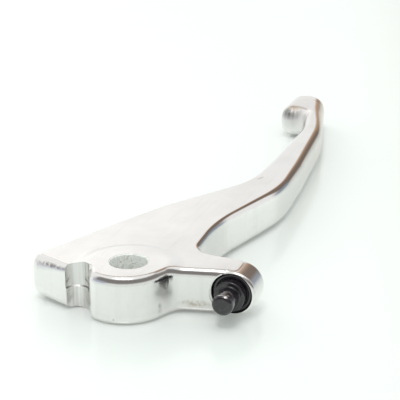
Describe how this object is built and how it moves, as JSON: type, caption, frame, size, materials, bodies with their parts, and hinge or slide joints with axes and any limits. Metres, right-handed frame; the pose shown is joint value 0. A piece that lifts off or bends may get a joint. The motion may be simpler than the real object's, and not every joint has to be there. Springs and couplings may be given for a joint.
{
  "type": "motorcycle brake lever",
  "caption": "Polished cast front brake lever with a pivot boss, a short arm holding a black pusher, a half-round end groove and a long curved blade with a hooked knob.",
  "frame": {"origin": "on the pivot bore's axis, at the middle of the casting's thickness", "axes": "+Z along the pivot bore, +Y from the pivot towards the knob, +X towards the short arm with the pusher"},
  "size_m": [0.0603, 0.2079, 0.0132],
  "materials": {
    "polished_alloy": "polished",
    "black_pusher": "glossy"
  },
  "bodies": {
    "root": {"lever": "polished_alloy", "pusher": "black_pusher"}
  },
  "joints": []
}
